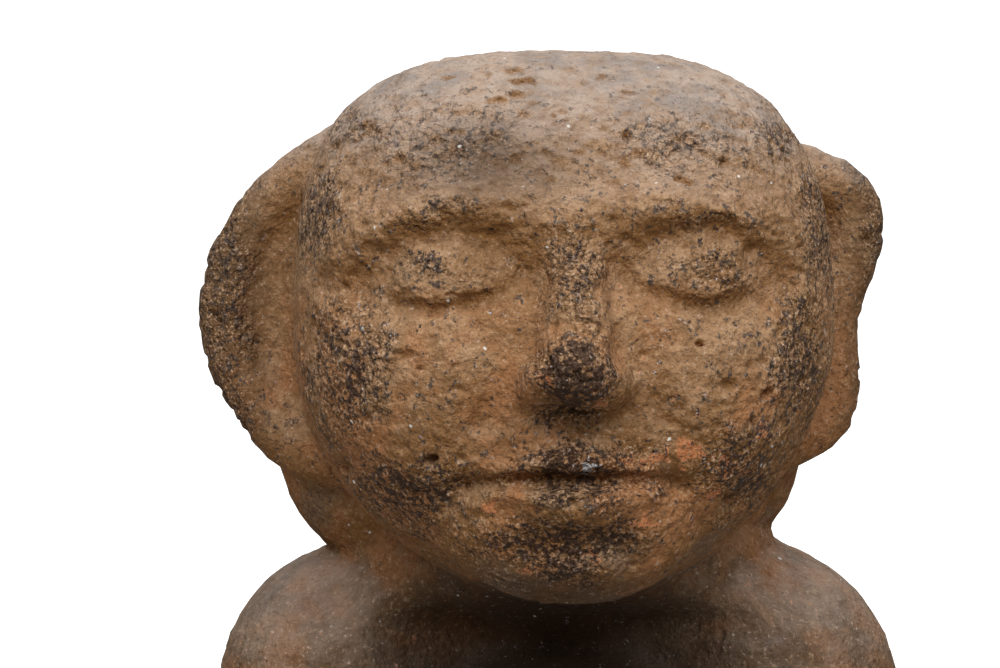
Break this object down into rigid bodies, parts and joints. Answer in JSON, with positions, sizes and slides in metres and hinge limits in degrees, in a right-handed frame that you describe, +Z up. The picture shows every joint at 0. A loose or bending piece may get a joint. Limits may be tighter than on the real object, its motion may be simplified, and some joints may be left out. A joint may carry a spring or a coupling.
{
  "type": "stone bust",
  "caption": "Carved volcanic stone bust: a broad bare head with slab ears, closed eyes and a calm face on hunched shoulders, cut flat below.",
  "frame": {"origin": "middle of the bounding box in plan, on the flat underside", "axes": "+Z up from the underside to the crown, -Y the way the face looks, +X to the right of someone who looks at the face"},
  "size_m": [0.1016, 0.0898, 0.1266],
  "materials": {
    "weathered_stone": "rough pitted volcanic stone, dark grains under a film of tan earth"
  },
  "bodies": {
    "root": {"stone_bust": "weathered_stone"}
  },
  "joints": []
}
